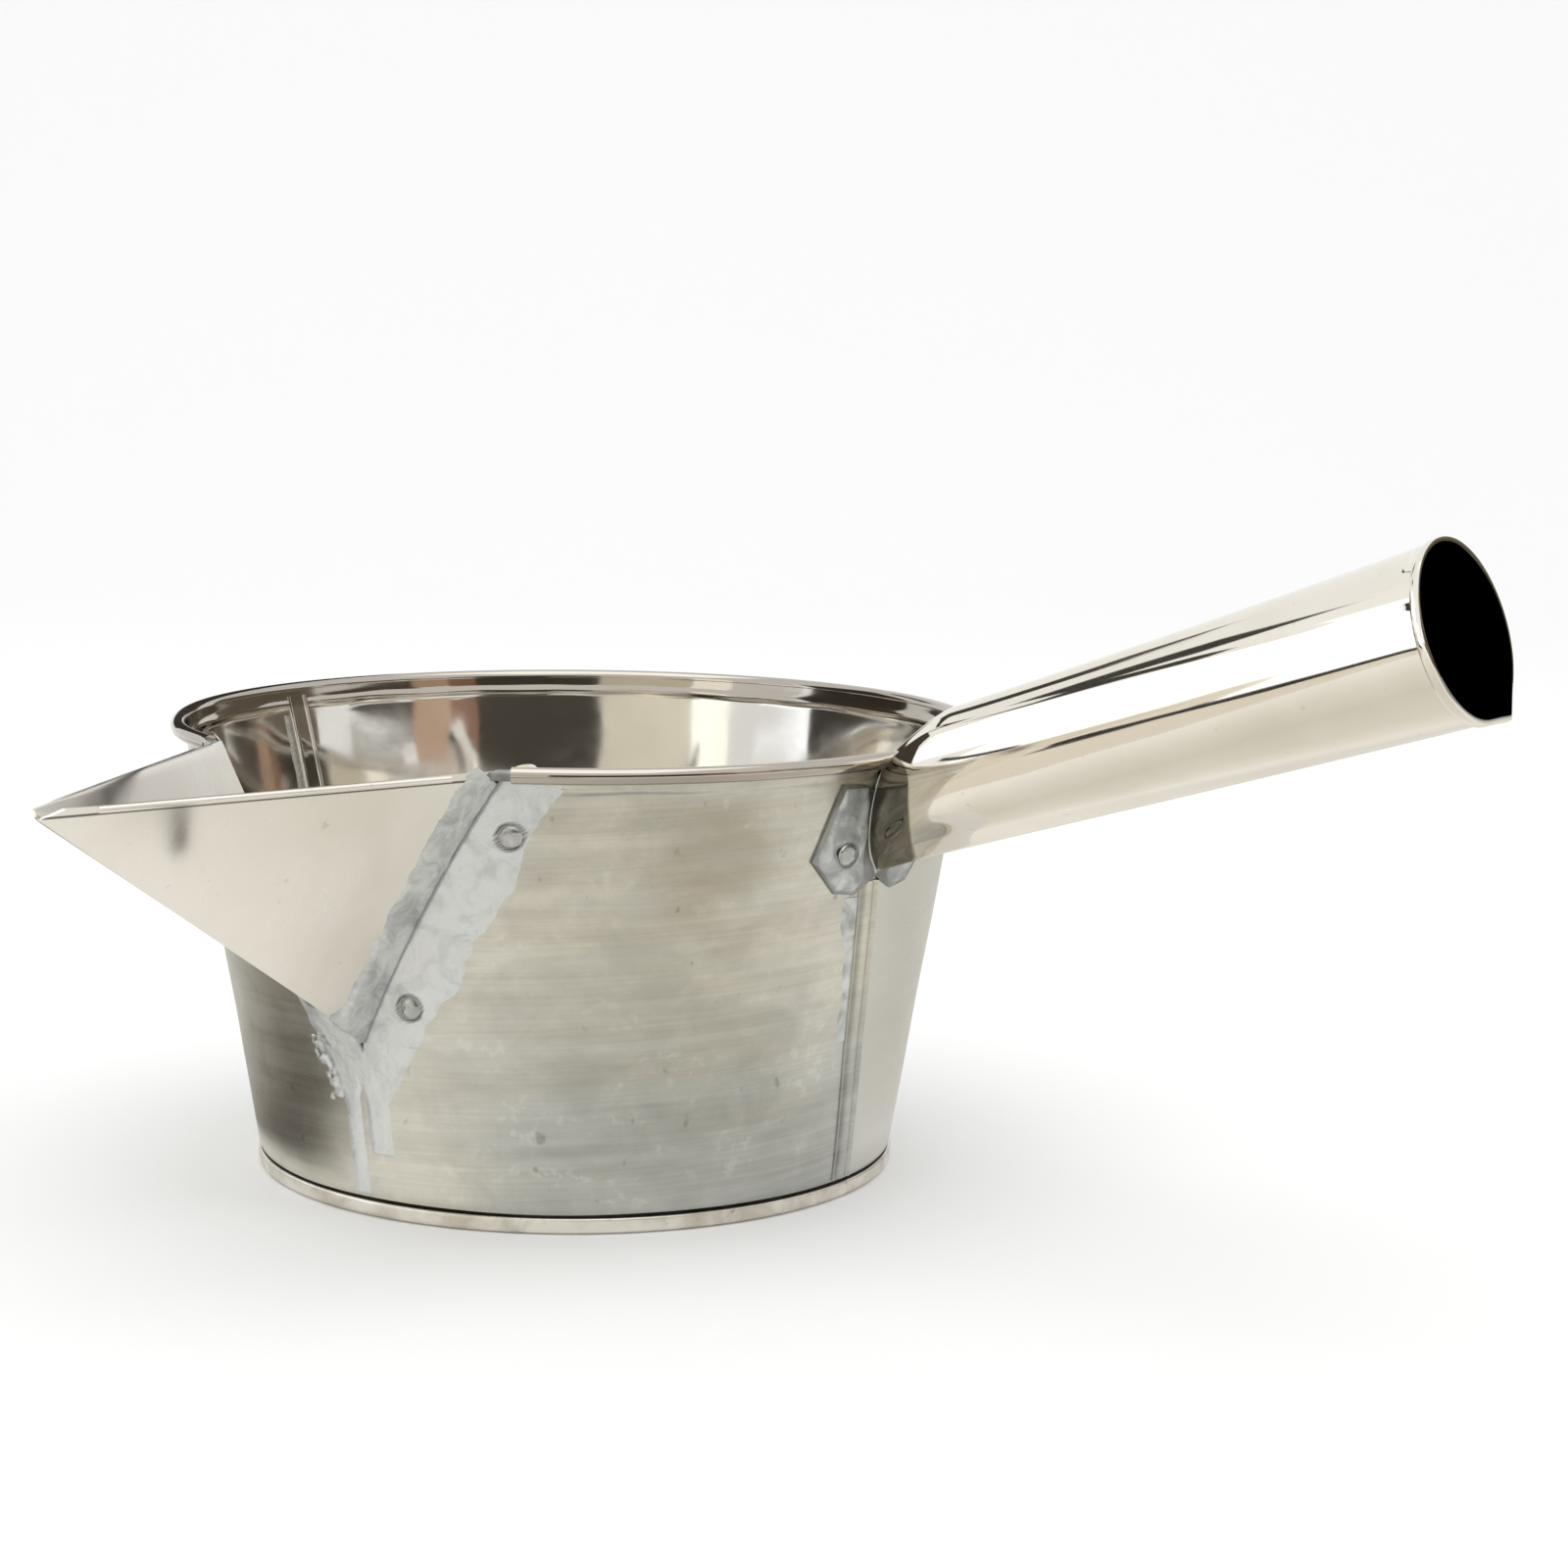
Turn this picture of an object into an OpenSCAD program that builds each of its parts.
// Pouring pot for melted wax, made from thin sheet the way a tinsmith works.
// The origin is the centre of the underside. +Z is up, the handle points
// along +X and the spout points roughly along -Y.

/* [Sheet, wire and rivets] */
// Thickness of all the sheet metal
sheet_t = 0.5; // [0.3:0.1:0.8]
// Diameter of the wire inside the rim bead
wire_d = 2.2; // [1.6:0.1:3.2]
// Gap between the wire and the sheet rolled around it
wire_gap = 0.02; // [0.01:0.01:0.1]
// Diameter of the rivet shanks
rivet_d = 3; // [2:0.1:4]
// Diameter of the rivet heads
rivet_head_d = 5; // [4:0.1:6]
// Height of the rivet heads
rivet_head_h = 1.3; // [0.8:0.1:2]
// Gap between a rivet shank and its hole
rivet_gap = 0.05; // [0.02:0.01:0.15]

/* [Pot wall] */
// Outer radius of the wall at the height of the rim wire
wall_top_r = 80.5; // [64:0.5:100]
// Radius that the slope of the wall reaches at the bench
wall_foot_r = 65.2; // [54:0.2:80]
// Height of the centre of the rim wire
rim_h = 90.9; // [75:0.1:110]
// Width of the lock seams
seam_w = 6.2; // [4:0.1:9]
// Lean of the plane that parts the two shells, in degrees
seam_lean = 6; // [0:0.5:8]
// Sideways place of that plane at seam_pivot_z
seam_shift = 2; // [-4:0.5:4]
// Height at which the parting plane has that sideways place
seam_pivot_z = 35; // [25:1:45]

/* [Base pan] */
// Height of the folded band around the foot
band_h = 3.1; // [2.4:0.1:5]
// How far the band stands out past the wall above it
band_proud = 0.3; // [0.1:0.1:1]
// Height of the dark groove between the band and the wall
groove_h = 0.8; // [0.4:0.1:1.6]
// Radius of the rounded corner under the band
base_corner_r = 1; // [0.6:0.1:1.6]
// Gap between the foot of the wall and the band
foot_gap = 0.05; // [0.02:0.01:0.15]

/* [Spout] */
// Direction of the spout, in degrees from the handle
spout_dir = -83.5; // [-95:0.5:-75]
// Height at which the fold of the spout meets the wall
spout_foot_z = 36; // [30:0.1:48]
// Distance from the middle of the pot to the tip of the spout
spout_reach = 158.6; // [125:1:180]
// How far the tip of the spout's fold lies below rim_h
spout_tip_drop = 1.2; // [0:0.1:7]
// How far the top edges of the spout stand above rim_h
spout_top_rise = 0.7; // [0.1:0.1:3]
// Half of the angle between the two spout panels, in degrees
vee_half = 36.4; // [30:0.5:40]
// Width of the flanges inside the wall
flange_w = 10; // [8.5:0.5:14]
// Depth of the hem along the spout's top edges
hem_h = 1.3; // [0.8:0.1:2]
// Length at the tip that has no hem
hem_stop = 5; // [3:0.5:12]
// Distance from the joint line to the rivets
rivet_inset = 5.5; // [4.6:0.1:6]
// Height of the lower spout rivets above the foot of the spout
low_rivet_rise = 8.4; // [6:0.1:14]
// Depth of the upper spout rivets below rim_h
high_rivet_drop = 11.7; // [8:0.1:18]

/* [Handle] */
// Length of the handle along X, measured from root_x
handle_run = 122.8; // [90:1:150]
// Rise of the handle, in degrees
handle_rise = 18.3; // [10:0.5:24]
// Sideways drift of the free end
handle_drift = -4.7; // [-6:0.1:6]
// Depth below rim_h at which the handle's axis meets the wall
handle_drop = 6.8; // [3:0.1:11]
// Half of the handle's width at the wall
root_half_w = 4.3; // [3.4:0.1:5.5]
// Half of the handle's height near the wall
root_half_h = 12.2; // [10:0.1:13.4]
// Half of the handle's width at the free end
end_half_w = 15.1; // [12:0.1:19]
// Half of the handle's height at the free end
end_half_h = 16; // [13:0.1:19]
// How far the crimped root drops below the handle's axis
root_drop = 2.9; // [0:0.1:3.6]
// How much the crimped root loses of its half height
root_pinch = 2.2; // [0:0.1:3]
// Half of the angle that the folded corner of the tube spans
corner_half = 28; // [15:1:34]
// Turn of the folded corner at the free end, in degrees
corner_turn = 29; // [0:1:40]
// Length of the hem folded back at the free end
end_hem = 2; // [1:0.5:5]
// Distance of the ear rivets sideways from the middle of the handle
ear_rivet_side = 9.8; // [9:0.1:12]
// Depth of the ear rivets below rim_h
ear_rivet_drop = 17.9; // [15:0.1:21]

/* [Solder] */
// Thickness of the solder coat
solder_t = 0.35; // [0.2:0.05:0.45]
// Width of the solder strip on the wall
solder_wall_w = 9; // [8.2:0.5:12]
// Width of the solder strip on the spout panels
solder_panel_w = 8; // [5:0.5:10]
// Height of the solder fillet inside the foot
fillet_h = 2.2; // [1.2:0.1:2.6]

/* [Hidden] */

$fn = 160;
big = 400;
cut = 0.01;

// Wall
cone_half = atan(slope_of_wall());
bead_r = wire_d / 2 + sheet_t;
rim_r = wall_top_r - sheet_t + bead_r;
curl_gap = 0.2;
shoulder_z = band_h + groove_h;
band_r = wall_r(shoulder_z) + band_proud;
band_t = 2 * sheet_t;
foot_r = band_r - band_t - foot_gap;
seam_bottom_z = shoulder_z + 0.2;
seam_top_drop = 27.9;
seam_top_z = rim_h - seam_top_drop;
inner_seam_top_z = rim_h - 1;
seam_solder_z = 34;
seam_solder_w = 3;
inner_solder_w = 2;
inner_solder_z = 8;

// Spout, in a frame whose X runs up along the fold
spout_tip_z = rim_h - spout_tip_drop;
spout_top_z = rim_h + spout_top_rise;
spout_rivet_z = [spout_foot_z + low_rivet_rise, rim_h - high_rivet_drop];
spout_foot_r = wall_r(spout_foot_z);
fold_rise = atan((spout_tip_z - spout_foot_z) / (spout_reach - spout_foot_r));
flange_rise = 0.6;
flange_top_z = rim_h + flange_rise;
run_top_gap = 4.4;
rivet_step = rivet_inset / cos(vee_half);
tail_spread = 0.6;
tail_r = rivet_d / 2 + tail_spread;
tail_h = 0.8;
seat_gap = 0.03;

// Handle
handle_root_z = rim_h - handle_drop;
root_proud = 0.645;
root_x = wall_r(handle_root_z) + root_proud;
crimp_end = 0.12;
crimp_curve = 1.5;
width_curve = 0.85;
height_curve = 1.4;
tube_sides = 48;
tube_steps = 12;
end_x = root_x + handle_run;
hem_t = 1 - end_hem * cos(handle_rise) / handle_run;
root_gap = 0.05;
ear_rivet_z = rim_h - ear_rivet_drop;
ear_rivet_dir = asin(ear_rivet_side / wall_r(ear_rivet_z));
ear_foot_drop = 31;
ear_foot_z = rim_h - ear_foot_drop;
// Sideways from the handle and up from rim_h
ear_outline = [[0, -23.5], [5.8, -26.6], [11.5, -25.8], [18.5, -18.8],
    [13.3, -4], [7.9, -4.5], [0, -6.9]];
ear_solder_inset = 0.8;
root_solder_w = 1.6;
root_solder_t = 0.9;

// ---------- rules that several pieces share ----------

// Outer radius of the wall at a height
function wall_r(z) = wall_foot_r + slope_of_wall() * z;
function slope_of_wall() = (wall_top_r - wall_foot_r) / rim_h;

// Half width of the spout joint on the wall at a height, in a few passes
function joint_w(z, w = 0, passes = 4) =
    passes == 0 ? w :
    let(out = sqrt(pow(wall_r(z), 2) - w * w) - spout_foot_r,
        up = (z - spout_foot_z) * cos(fold_rise) - out * sin(fold_rise))
    joint_w(z, max(0, up) * tan(vee_half), passes - 1);

// Direction of a spout rivet from the spout's own direction
function spout_rivet_dir(z) = asin((joint_w(z) + rivet_step) / wall_r(z));

// Outermost radius of wall and rim bead at a height
function outer_r(z) = let(up = z - rim_h)
    abs(up) < bead_r
        ? max(wall_r(min(z, rim_h)), rim_r + sqrt(bead_r * bead_r - up * up))
        : z > rim_h ? rim_r : wall_r(z);

// Handle section: t runs from 0 at the wall to 1 at the free end and
// a is the angle around the section, 0 at the folded corner
function crimp(t) = pow(max(0, 1 - t / crimp_end), crimp_curve);
function half_w(t) = root_half_w + (end_half_w - root_half_w) * pow(t, width_curve);
function half_h(t) = root_half_h + (end_half_h - root_half_h) * pow(t, height_curve);
function corner_swell(a) = let(off = min(a, 360 - a))
    off < corner_half ? 1 / cos(corner_half - off) : 1;
function side_of(a, t) = corner_swell(a) * sin(a + corner_turn * t);
function up_of(a, t) = -corner_swell(a) * cos(a + corner_turn * t);
function tube_y(a, t, grow) =
    (half_w(t) + grow) * side_of(a, t) + handle_drift * t;
function tube_z(a, t, grow, x) =
    handle_root_z + tan(handle_rise) * (x - root_x) - root_drop * crimp(t)
    + ((half_h(t) + grow) / cos(handle_rise) - root_pinch * crimp(t))
    * up_of(a, t);
function wall_x(y, z) = sqrt(pow(outer_r(z), 2) - y * y);
function root_x_of(a, grow) =
    let(y = tube_y(a, 0, grow),
        first = wall_x(y, tube_z(a, 0, grow, root_x)))
    wall_x(y, tube_z(a, 0, grow, first));
function end_x_of(a) = end_x - end_half_h * up_of(a, 1) * sin(handle_rise);
function tube_point(a, t, grow) =
    let(x = root_x_of(a, grow) * (1 - t) + end_x_of(a) * t,
        seat = root_x_of(a, grow))
    t == 0 ? [seat, tube_y(a, 0, grow), tube_z(a, 0, grow, seat)]
           : [x, tube_y(a, t, grow), tube_z(a, t, grow, x)];
function tube_ring(t, grow) =
    [for (i = [0 : tube_sides - 1]) tube_point(i * 360 / tube_sides, t, grow)];

// ---------- shared shapes ----------

// Ring of material that lies parallel to the wall, off from its outer face
module wall_layer(off, t, z0, z1) {
    rotate_extrude()
        polygon([[wall_r(z0) + off, z0], [wall_r(z0) + off + t, z0],
            [wall_r(z1) + off + t, z1], [wall_r(z1) + off, z1]]);
}

// Everything inside the wall, up to a face off from its outer face
module wall_core(off) {
    rotate_extrude()
        polygon([[0, -1], [wall_r(-1) + off, -1],
            [wall_r(big) + off, big], [0, big]]);
}

// Straight prism along X over an outline in Y and Z
module prism_x(x0, x1) {
    translate([x0, 0, 0])
        rotate([90, 0, 90])
        linear_extrude(x1 - x0)
        children();
}

// Slab that follows the plane between the two shells
module seam_slab(y0, y1, x0, x1) {
    translate([0, seam_shift, seam_pivot_z])
        rotate([seam_lean, 0, 0])
        translate([x0, y0, -big])
        cube([x1 - x0, y1 - y0, 2 * big]);
}

// Wall with its necked foot and the sheet rolled around the rim wire
module wall_section() {
    in = -sheet_t;
    polygon([
        [foot_r, sheet_t], [foot_r, band_h + 0.1],
        [wall_r(shoulder_z), shoulder_z], [wall_r(rim_h), rim_h],
        [wall_r(rim_h) + in, rim_h], [wall_r(shoulder_z) + in, shoulder_z + 0.1],
        [foot_r + in, band_h + 0.2], [foot_r + in, sheet_t]
    ]);
    translate([rim_r, rim_h])
        difference() {
            circle(bead_r);
            circle(wire_d / 2 + wire_gap);
            rotate(235)
                square([2 * bead_r, curl_gap]);
        }
}

// Area between the spout panels, as seen along the fold
module vee(inset) {
    lift = inset / sin(vee_half);
    polygon([[0, lift], [big * sin(vee_half), lift + big * cos(vee_half)],
        [-big * sin(vee_half), lift + big * cos(vee_half)]]);
}

module along_fold(from, to) {
    rotate([0, 0, spout_dir])
        translate([spout_foot_r, 0, spout_foot_z])
        rotate([0, -fold_rise, 0])
        prism_x(from, to)
        children();
}

// Everything between the spout panels, with the wall that they replace
module spout_opening() {
    along_fold(-30, big) vee(0);
}

// One side of the spout: +1 is the near side, by the handle
module spout_side(side) {
    rotate([0, 0, spout_dir])
        translate([20, side > 0 ? 0 : -big, 0])
        cube([big, big, 120]);
}

// Rivet with its head on the outside of the wall at the local origin
module rivet(grip) {
    ball_r = (pow(rivet_head_d / 2, 2) + pow(rivet_head_h, 2))
        / (2 * rivet_head_h);
    intersection() {
        translate([0, 0, rivet_head_h - ball_r])
            sphere(ball_r, $fn = 64);
        cylinder(h = rivet_head_h + 1, r = rivet_head_d / 2, $fn = 64);
    }
    translate([0, 0, -grip - tail_h / 2])
        cylinder(h = grip + tail_h / 2, d = rivet_d, $fn = 48);
    translate([0, 0, -grip - seat_gap - tail_h])
        cylinder(h = tail_h, r1 = tail_r - 0.3, r2 = tail_r, $fn = 48);
}

// Children stand on the wall, looking outwards
module on_wall(dir, z, off = 0) {
    rotate([0, 0, dir])
        translate([wall_r(z), 0, z])
        rotate([0, 90 + cone_half, 0])
        translate([0, 0, off])
        children();
}

module spout_rivet_spots(side) {
    for (z = spout_rivet_z)
        on_wall(spout_dir + side * spout_rivet_dir(z), z)
            children();
}

module ear_rivet_spot(side) {
    on_wall(-side * ear_rivet_dir, ear_rivet_z, sheet_t)
        children();
}

module rivet_holes() {
    hole_r = rivet_d / 2 + rivet_gap;
    for (side = [-1, 1]) {
        spout_rivet_spots(side)
            cylinder(h = 8, r = hole_r, center = true, $fn = 48);
        ear_rivet_spot(side)
            cylinder(h = 8, r = hole_r, center = true, $fn = 48);
    }
}

// Outline of the handle where it meets the wall, seen along X
module root_outline(grow) {
    polygon([for (p = tube_ring(0, grow)) [p[1], p[2]]]);
}

// ---------- the pieces ----------

module body_shell(side) {
    difference() {
        intersection() {
            rotate_extrude() wall_section();
            seam_slab(side < 0 ? -big : 0, side < 0 ? 0 : big, -big, big);
        }
        spout_opening();
        rivet_holes();
    }
}

module near_body_shell() color([0.72, 0.70, 0.65]) {
    body_shell(-1);
    intersection() {
        wall_layer(-cut, sheet_t + cut, seam_bottom_z, seam_top_z);
        seam_slab(-seam_w / 2, seam_w / 2, 0, big);
    }
}

module far_body_shell() color([0.76, 0.75, 0.72]) {
    body_shell(1);
    intersection() {
        wall_layer(-2 * sheet_t, sheet_t + cut, seam_bottom_z, inner_seam_top_z);
        seam_slab(-seam_w / 2, seam_w / 2, -big, 0);
    }
}

module rim_wire() color([0.6, 0.6, 0.6])
    difference() {
        rotate_extrude()
            translate([rim_r, rim_h])
            circle(d = wire_d);
        spout_opening();
    }

module base_pan() color([0.70, 0.66, 0.58]) {
    lip = band_t / 2;
    rotate_extrude() {
        difference() {
            union() {
                square([band_r - base_corner_r, sheet_t]);
                translate([band_r - base_corner_r, base_corner_r])
                    intersection() {
                        circle(base_corner_r);
                        translate([0, -base_corner_r])
                            square(base_corner_r);
                    }
                translate([band_r - band_t, base_corner_r])
                    square([band_t, band_h - lip - base_corner_r]);
                translate([band_r - lip, band_h - lip])
                    circle(lip);
            }
            translate([band_r - band_t - 1, sheet_t])
                square([1, band_h]);
        }
    }
}

module base_seam_solder() color([0.62, 0.64, 0.65]) {
    inner_r = foot_r - sheet_t;
    rotate_extrude()
        difference() {
            translate([inner_r - fillet_h, sheet_t])
                square(fillet_h);
            translate([inner_r - fillet_h, sheet_t + fillet_h])
                circle(fillet_h);
        }
}

module spout_sheet() color([0.86, 0.84, 0.78]) {
    // Panels and flanges reach half a sheet into each other along the bend
    bend = sheet_t / 2;
    difference() {
        union() {
            intersection() {
                along_fold(-30, big)
                    difference() {
                        vee(0);
                        vee(sheet_t);
                    }
                rotate([0, 0, spout_dir])
                    translate([0, -big / 2, 0])
                    cube([spout_reach, big, spout_top_z]);
            }
            intersection() {
                along_fold(-30, big)
                    difference() {
                        vee(-sheet_t);
                        vee(bend);
                    }
                rotate([0, 0, spout_dir])
                    translate([rim_r + bead_r, -big / 2, spout_top_z - hem_h])
                    cube([spout_reach - hem_stop - rim_r - bead_r, big, big]);
                rotate([0, 0, spout_dir])
                    translate([0, -big / 2, 0])
                    cube([spout_reach, big, spout_top_z]);
            }
        }
        wall_core(-sheet_t - bend);
    }
    difference() {
        intersection() {
            wall_layer(-2 * sheet_t, sheet_t, spout_foot_z - flange_w,
                flange_top_z);
            along_fold(-30, big)
                difference() {
                    vee(-flange_w);
                    vee(bend);
                }
            spout_side_pair();
        }
        rivet_holes();
    }
}

// The half of the pot that the spout is on
module spout_side_pair() {
    rotate([0, 0, spout_dir])
        translate([0, -big / 2, 0])
        cube([big, big, 120]);
}

module spout_rivets(side) {
    spout_rivet_spots(side) rivet(2 * sheet_t);
}
module near_spout_rivets() color([0.66, 0.66, 0.64]) spout_rivets(1);
module far_spout_rivets() color([0.66, 0.66, 0.64]) spout_rivets(-1);

// The strips on the wall and on the panel overlap by half their thickness
module spout_solder(side) {
    lap = solder_t / 2;
    bottom_z = spout_foot_z - 3;
    difference() {
        union() {
            intersection() {
                wall_layer(0, solder_t, bottom_z, rim_h - bead_r - 1);
                along_fold(-30, big)
                    difference() {
                        vee(-solder_wall_w);
                        vee(-lap);
                    }
                spout_side(side);
            }
            intersection() {
                wall_layer(lap, solder_panel_w, bottom_z + lap,
                    spout_top_z - hem_h - 0.2);
                along_fold(-30, big)
                    difference() {
                        vee(-solder_t);
                        vee(0);
                    }
                spout_side(side);
            }
        }
        spout_rivet_spots(side)
            cylinder(h = 4, r = rivet_head_d / 2 + rivet_gap, $fn = 48);
    }
}
module near_spout_solder() color([0.74, 0.76, 0.77]) spout_solder(1);
module far_spout_solder() color([0.74, 0.76, 0.77]) spout_solder(-1);

// Solder that ran down the wall from the foot of the spout
module spout_run_solder() color([0.78, 0.80, 0.81])
    intersection() {
        wall_layer(0, solder_t, shoulder_z + 0.6, spout_foot_z);
        rotate([0, 0, spout_dir])
            prism_x(20, big)
            intersection() {
                polygon([[-9, 31], [-6.8, 26], [-7, 4], [-3.2, 4],
                    [-2.6, 25], [0.2, 25], [0.6, 13], [5.2, 13],
                    [6.5, 27], [11, 33]]);
                translate([-big / 2, 0])
                    square([big, spout_foot_z - run_top_gap]);
            }
    }

module seam_solder(y0, y1, x0, x1, off, z0, z1) {
    intersection() {
        wall_layer(off, solder_t, z0, z1);
        seam_slab(y0, y1, x0, x1);
    }
}
module handle_seam_solder() color([0.70, 0.72, 0.73])
    seam_solder(-seam_w / 2 - seam_solder_w, -seam_w / 2, 0, big,
        0, seam_solder_z, seam_top_z);
module far_seam_solder() color([0.70, 0.72, 0.73])
    seam_solder(seam_w / 2, seam_w / 2 + inner_solder_w, -big, 0,
        -sheet_t - solder_t, inner_solder_z, inner_seam_top_z - 4);

module handle_tube() color([0.84, 0.82, 0.77]) {
    stations = concat(
        [for (i = [0 : tube_steps - 1]) [hem_t * pow(i / tube_steps, 1.6), 0]],
        [[hem_t - 0.001, 0], [hem_t, sheet_t], [1, sheet_t]]);
    outer = [for (s = stations) each tube_ring(s[0], s[1])];
    inner = [for (s = stations) each tube_ring(s[0], -sheet_t)];
    rows = len(stations);
    n = tube_sides;
    last = (rows - 1) * n;
    core = rows * n;
    skin = [for (r = [0 : rows - 2], i = [0 : n - 1])
        let(j = (i + 1) % n, a = r * n + i, b = r * n + j)
        each [[a, b, b + n], [a, b + n, a + n]]];
    lining = [for (f = skin) [f[2] + core, f[1] + core, f[0] + core]];
    root = [for (i = [0 : n - 1]) let(j = (i + 1) % n)
        each [[i, i + core, j + core], [i, j + core, j]]];
    mouth = [for (i = [0 : n - 1]) let(j = (i + 1) % n)
        each [[last + i, last + j, last + j + core],
            [last + i, last + j + core, last + i + core]]];
    polyhedron(concat(outer, inner), concat(skin, lining, root, mouth));
}

// Outline of an ear, seen along X
module ear_face(side) {
    translate([0, rim_h])
        scale([-side, 1])
        polygon(ear_outline);
}
module ear_shape(side) {
    difference() {
        ear_face(side);
        root_outline(root_gap);
    }
}
module handle_ear(side) {
    difference() {
        intersection() {
            wall_layer(0, sheet_t, ear_foot_z, rim_h - bead_r);
            prism_x(20, big) ear_shape(side);
        }
        rivet_holes();
    }
}
module near_handle_ear() color([0.70, 0.71, 0.71]) handle_ear(1);
module far_handle_ear() color([0.70, 0.71, 0.71]) handle_ear(-1);

module near_ear_rivet() color([0.66, 0.66, 0.64])
    ear_rivet_spot(1) rivet(2 * sheet_t);
module far_ear_rivet() color([0.66, 0.66, 0.64])
    ear_rivet_spot(-1) rivet(2 * sheet_t);

module ear_solder(side) {
    difference() {
        intersection() {
            wall_layer(sheet_t, solder_t, ear_foot_z, rim_h - bead_r);
            prism_x(20, big)
                difference() {
                    offset(delta = -ear_solder_inset) ear_face(side);
                    root_outline(root_gap + root_solder_w);
                }
        }
        ear_rivet_spot(side)
            cylinder(h = 4, r = rivet_head_d / 2 + rivet_gap, $fn = 48);
    }
}
module near_ear_solder() color([0.76, 0.78, 0.79]) ear_solder(1);
module far_ear_solder() color([0.76, 0.78, 0.79]) ear_solder(-1);

module handle_root_solder() color([0.76, 0.78, 0.79])
    intersection() {
        wall_layer(sheet_t, root_solder_t, ear_foot_z, handle_root_z);
        prism_x(20, big)
            difference() {
                root_outline(root_gap + root_solder_w);
                root_outline(4 * root_gap);
            }
    }

near_body_shell();
far_body_shell();
rim_wire();
base_pan();
base_seam_solder();
handle_seam_solder();
far_seam_solder();
spout_sheet();
near_spout_rivets();
far_spout_rivets();
near_spout_solder();
far_spout_solder();
spout_run_solder();
handle_tube();
near_handle_ear();
far_handle_ear();
near_ear_rivet();
far_ear_rivet();
near_ear_solder();
far_ear_solder();
handle_root_solder();
